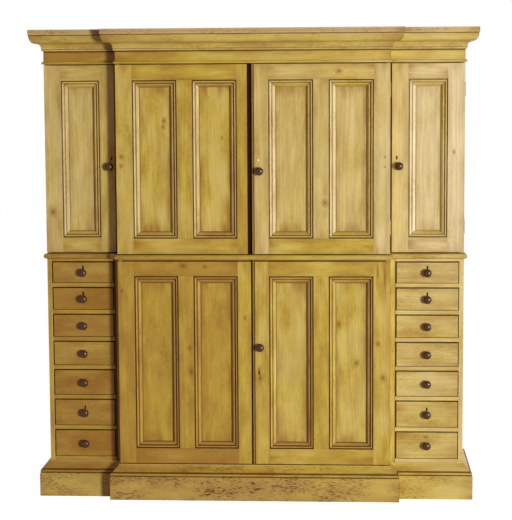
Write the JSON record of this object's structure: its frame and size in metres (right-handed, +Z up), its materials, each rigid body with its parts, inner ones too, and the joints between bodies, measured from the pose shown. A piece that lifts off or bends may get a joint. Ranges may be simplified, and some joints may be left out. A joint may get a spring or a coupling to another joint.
{
  "type": "breakfront cabinet",
  "caption": "Two-stage pine breakfront cupboard with panelled doors above and below, graduated drawers in the lower wings, a moulded cornice and a plinth.",
  "frame": {"origin": "on the floor, under the middle of the overall box", "axes": "+Z up, -Y out of the front, +X to the right seen from the front"},
  "size_m": [2.2, 0.635, 2.328],
  "materials": {
    "waxed_pine": "old honey-coloured wax over pine, satin",
    "drawer_pine": "old honey-brown wax over pine, satin",
    "bare_pine": "unpolished pine, matt",
    "dark_turned_wood": "dark stained turned wood, semi-gloss",
    "brass": "dull aged brass"
  },
  "bodies": {
    "case": {"plinth": "waxed_pine", "lower_carcase": "waxed_pine", "lower_back": "bare_pine", "waist_top": "waxed_pine", "upper_carcase": "waxed_pine", "upper_back": "bare_pine", "cornice": "waxed_pine", "shelf_lower": "bare_pine", "shelf_upper_1": "bare_pine", "shelf_upper_2": "bare_pine", "hinge_wing_left_1": "brass", "hinge_wing_left_2": "brass", "hinge_wing_right_1": "brass", "hinge_wing_right_2": "brass", "hinge_upper_left_1": "brass", "hinge_upper_left_2": "brass", "hinge_upper_right_1": "brass", "hinge_upper_right_2": "brass", "hinge_lower_left_1": "brass", "hinge_lower_left_2": "brass", "hinge_lower_right_1": "brass", "hinge_lower_right_2": "brass"},
    "door_wing_left": {"door_wing_left": "waxed_pine", "knob_wing_left": "dark_turned_wood"},
    "door_wing_right": {"door_wing_right": "waxed_pine", "knob_wing_right": "dark_turned_wood"},
    "door_upper_left": {"door_upper_left": "waxed_pine"},
    "door_upper_right": {"door_upper_right": "waxed_pine", "knob_upper": "dark_turned_wood"},
    "door_lower_left": {"door_lower_left": "waxed_pine"},
    "door_lower_right": {"door_lower_right": "waxed_pine", "knob_lower": "dark_turned_wood"},
    "drawer_left_1": {"drawer_left_1": "drawer_pine", "knob_left_1": "dark_turned_wood"},
    "drawer_left_2": {"drawer_left_2": "drawer_pine", "knob_left_2": "dark_turned_wood"},
    "drawer_left_3": {"drawer_left_3": "drawer_pine", "knob_left_3": "dark_turned_wood"},
    "drawer_left_4": {"drawer_left_4": "drawer_pine", "knob_left_4": "dark_turned_wood"},
    "drawer_left_5": {"drawer_left_5": "drawer_pine", "knob_left_5": "dark_turned_wood"},
    "drawer_left_6": {"drawer_left_6": "drawer_pine", "knob_left_6": "dark_turned_wood"},
    "drawer_left_7": {"drawer_left_7": "drawer_pine", "knob_left_7": "dark_turned_wood"},
    "drawer_right_1": {"drawer_right_1": "drawer_pine", "knob_right_1": "dark_turned_wood"},
    "drawer_right_2": {"drawer_right_2": "drawer_pine", "knob_right_2": "dark_turned_wood"},
    "drawer_right_3": {"drawer_right_3": "drawer_pine", "knob_right_3": "dark_turned_wood"},
    "drawer_right_4": {"drawer_right_4": "drawer_pine", "knob_right_4": "dark_turned_wood"},
    "drawer_right_5": {"drawer_right_5": "drawer_pine", "knob_right_5": "dark_turned_wood"},
    "drawer_right_6": {"drawer_right_6": "drawer_pine", "knob_right_6": "dark_turned_wood"},
    "drawer_right_7": {"drawer_right_7": "drawer_pine", "knob_right_7": "dark_turned_wood"}
  },
  "joints": [
    {"name": "hinge_wing_left", "type": "hinge", "parent": "case", "child": "door_wing_left", "pos_m": [-1.035, -0.158, 1.226], "axis": [0, 0, -1], "range_deg": [0, 110]},
    {"name": "hinge_wing_right", "type": "hinge", "parent": "case", "child": "door_wing_right", "pos_m": [1.035, -0.158, 1.226], "axis": [0, 0, 1], "range_deg": [0, 110]},
    {"name": "hinge_upper_left", "type": "hinge", "parent": "case", "child": "door_upper_left", "pos_m": [-0.671, -0.228, 1.226], "axis": [0, 0, -1], "range_deg": [0, 110]},
    {"name": "hinge_upper_right", "type": "hinge", "parent": "case", "child": "door_upper_right", "pos_m": [0.671, -0.228, 1.226], "axis": [0, 0, 1], "range_deg": [0, 110]},
    {"name": "hinge_lower_left", "type": "hinge", "parent": "case", "child": "door_lower_left", "pos_m": [-0.671, -0.228, 0.176], "axis": [0, 0, -1], "range_deg": [0, 90]},
    {"name": "hinge_lower_right", "type": "hinge", "parent": "case", "child": "door_lower_right", "pos_m": [0.671, -0.228, 0.176], "axis": [0, 0, 1], "range_deg": [0, 90]},
    {"name": "slide_left_1", "type": "slide", "parent": "case", "child": "drawer_left_1", "axis": [0, -1, 0], "range_m": [0, 0.33]},
    {"name": "slide_left_2", "type": "slide", "parent": "case", "child": "drawer_left_2", "axis": [0, -1, 0], "range_m": [0, 0.33]},
    {"name": "slide_left_3", "type": "slide", "parent": "case", "child": "drawer_left_3", "axis": [0, -1, 0], "range_m": [0, 0.33]},
    {"name": "slide_left_4", "type": "slide", "parent": "case", "child": "drawer_left_4", "axis": [0, -1, 0], "range_m": [0, 0.33]},
    {"name": "slide_left_5", "type": "slide", "parent": "case", "child": "drawer_left_5", "axis": [0, -1, 0], "range_m": [0, 0.33]},
    {"name": "slide_left_6", "type": "slide", "parent": "case", "child": "drawer_left_6", "axis": [0, -1, 0], "range_m": [0, 0.33]},
    {"name": "slide_left_7", "type": "slide", "parent": "case", "child": "drawer_left_7", "axis": [0, -1, 0], "range_m": [0, 0.33]},
    {"name": "slide_right_1", "type": "slide", "parent": "case", "child": "drawer_right_1", "axis": [0, -1, 0], "range_m": [0, 0.33]},
    {"name": "slide_right_2", "type": "slide", "parent": "case", "child": "drawer_right_2", "axis": [0, -1, 0], "range_m": [0, 0.33]},
    {"name": "slide_right_3", "type": "slide", "parent": "case", "child": "drawer_right_3", "axis": [0, -1, 0], "range_m": [0, 0.33]},
    {"name": "slide_right_4", "type": "slide", "parent": "case", "child": "drawer_right_4", "axis": [0, -1, 0], "range_m": [0, 0.33]},
    {"name": "slide_right_5", "type": "slide", "parent": "case", "child": "drawer_right_5", "axis": [0, -1, 0], "range_m": [0, 0.33]},
    {"name": "slide_right_6", "type": "slide", "parent": "case", "child": "drawer_right_6", "axis": [0, -1, 0], "range_m": [0, 0.33]},
    {"name": "slide_right_7", "type": "slide", "parent": "case", "child": "drawer_right_7", "axis": [0, -1, 0], "range_m": [0, 0.33]}
  ]
}
